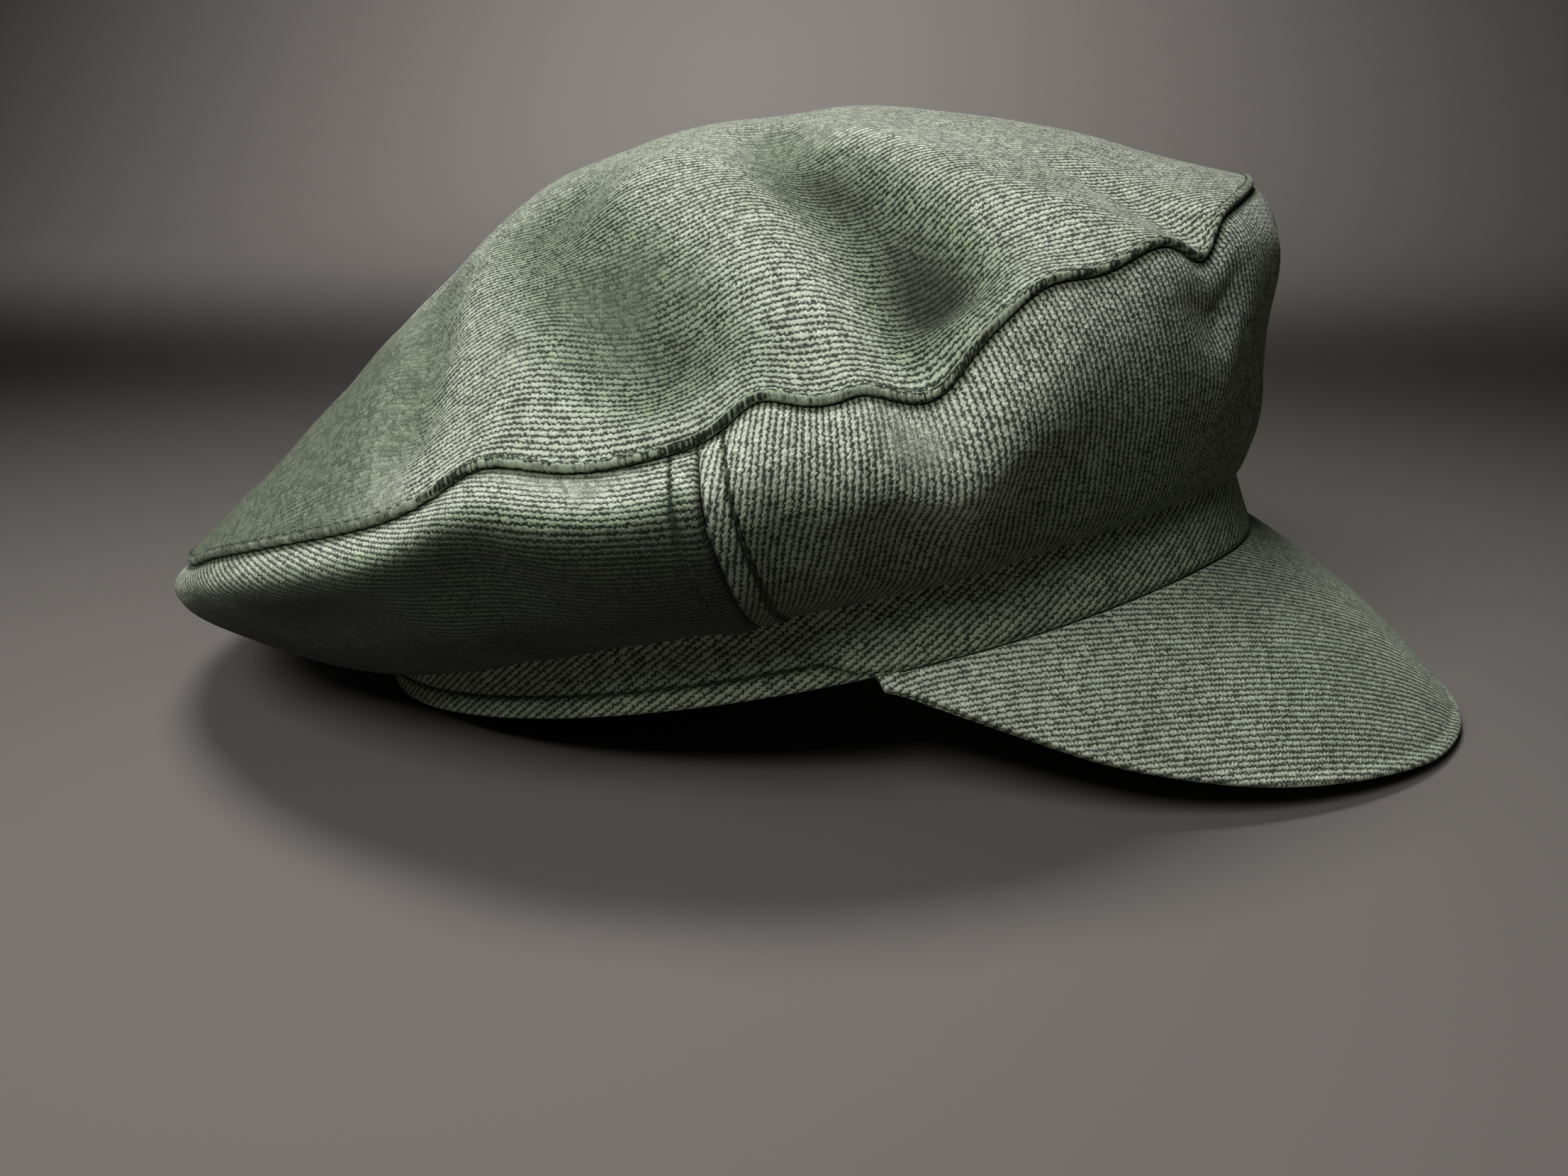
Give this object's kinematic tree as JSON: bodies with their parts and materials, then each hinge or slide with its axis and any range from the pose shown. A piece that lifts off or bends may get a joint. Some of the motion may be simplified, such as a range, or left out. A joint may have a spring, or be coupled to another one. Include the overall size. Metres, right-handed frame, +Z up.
{
  "type": "denim peaked cap",
  "caption": "Soft peaked cap of denim twill: a puckered, slouching crown on a plain band, with a short down-curved peak.",
  "frame": {"origin": "on the surface the cap rests on, under the middle of the cap's whole length and width", "axes": "+X towards the peak, +Y to the wearer's left, +Z up"},
  "size_m": [0.2942, 0.2366, 0.13],
  "materials": {
    "crown_denim": "matte twill",
    "band_denim": "matte twill",
    "peak_denim": "matte twill"
  },
  "bodies": {
    "root": {"crown_top": "crown_denim", "front_side_panel": "crown_denim", "back_side_panel": "crown_denim", "headband": "band_denim", "peak_top_cover": "peak_denim", "peak_under_cover": "peak_denim"}
  },
  "joints": []
}
